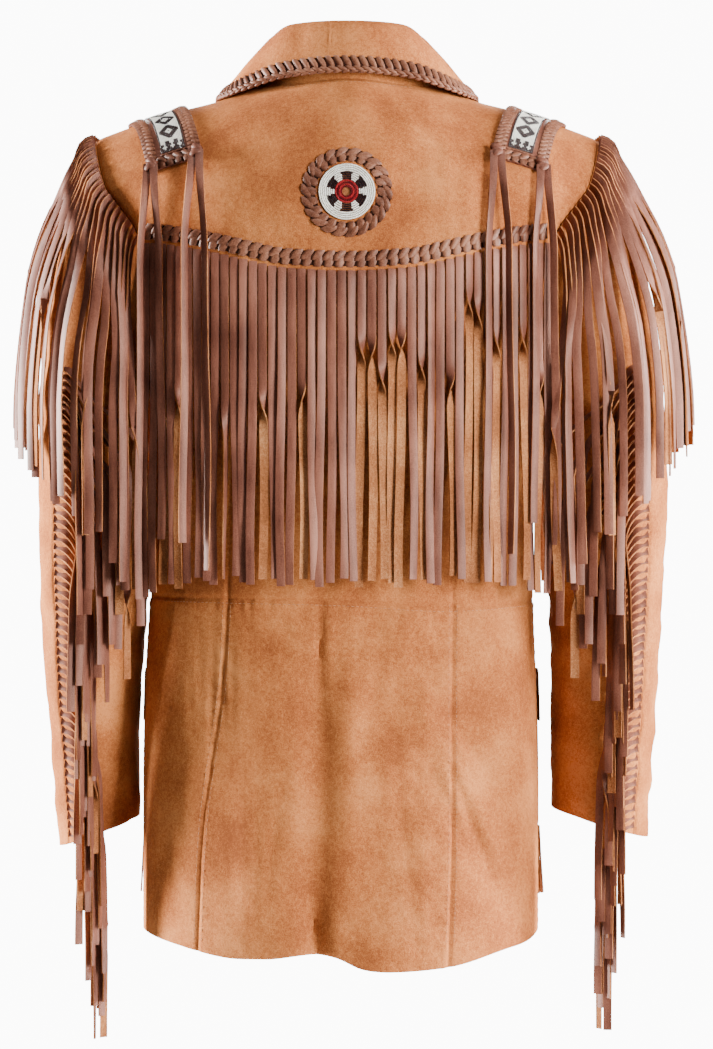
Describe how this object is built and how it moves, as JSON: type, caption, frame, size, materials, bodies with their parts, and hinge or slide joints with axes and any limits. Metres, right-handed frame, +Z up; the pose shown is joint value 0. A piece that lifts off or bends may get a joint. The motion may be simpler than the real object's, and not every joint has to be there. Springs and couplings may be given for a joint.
{
  "type": "suede coat",
  "caption": "Hip-length hollow suede coat with collar, back yoke, leather fringe on yoke, armholes and sleeves, beaded rosette and shoulder strips.",
  "frame": {"origin": "middle of the neck's base, between the shoulders, where the wearer's shoulders hold the coat", "axes": "+Z up, +Y to the back of the coat, +X to the wearer's left"},
  "size_m": [0.6388, 0.2724, 0.9557],
  "materials": {
    "suede": "brushed suede nap, matt",
    "fringe_leather": "smooth grain side with a soft sheen, flesh side matt",
    "braid_leather": "cut leather lace, satin",
    "beads": "opaque glass seed beads",
    "button_horn": "polished horn look"
  },
  "bodies": {
    "root": {"armhole_fringe_left": "fringe_leather", "armhole_fringe_right": "fringe_leather", "back_centre_lower": "suede", "back_centre_upper": "suede", "back_fringe": "fringe_leather", "back_side_lower_left": "suede", "back_side_lower_right": "suede", "back_side_upper_left": "suede", "back_side_upper_right": "suede", "back_yoke": "suede", "bead_strip_left": "beads", "bead_strip_right": "beads", "button_1": "button_horn", "button_2": "button_horn", "button_3": "button_horn", "button_4": "button_horn", "button_5": "button_horn", "collar_braid": "braid_leather", "collar_fall": "suede", "collar_stand": "suede", "epaulette_braid_left": "braid_leather", "epaulette_braid_right": "braid_leather", "epaulette_left": "suede", "epaulette_right": "suede", "front_left": "suede", "front_right": "suede", "pocket_flap_left": "suede", "pocket_flap_right": "suede", "pocket_fringe_left": "fringe_leather", "pocket_fringe_right": "fringe_leather", "pocket_left": "suede", "pocket_right": "suede", "rosette_braid": "braid_leather", "rosette_disc": "beads", "sleeve_fringe_left": "fringe_leather", "sleeve_fringe_right": "fringe_leather", "sleeve_top_left": "suede", "sleeve_top_right": "suede", "sleeve_under_left": "suede", "sleeve_under_right": "suede", "thongs_left_inner": "fringe_leather", "thongs_left_outer": "fringe_leather", "thongs_right_inner": "fringe_leather", "thongs_right_outer": "fringe_leather", "yoke_braid": "braid_leather"}
  },
  "joints": []
}
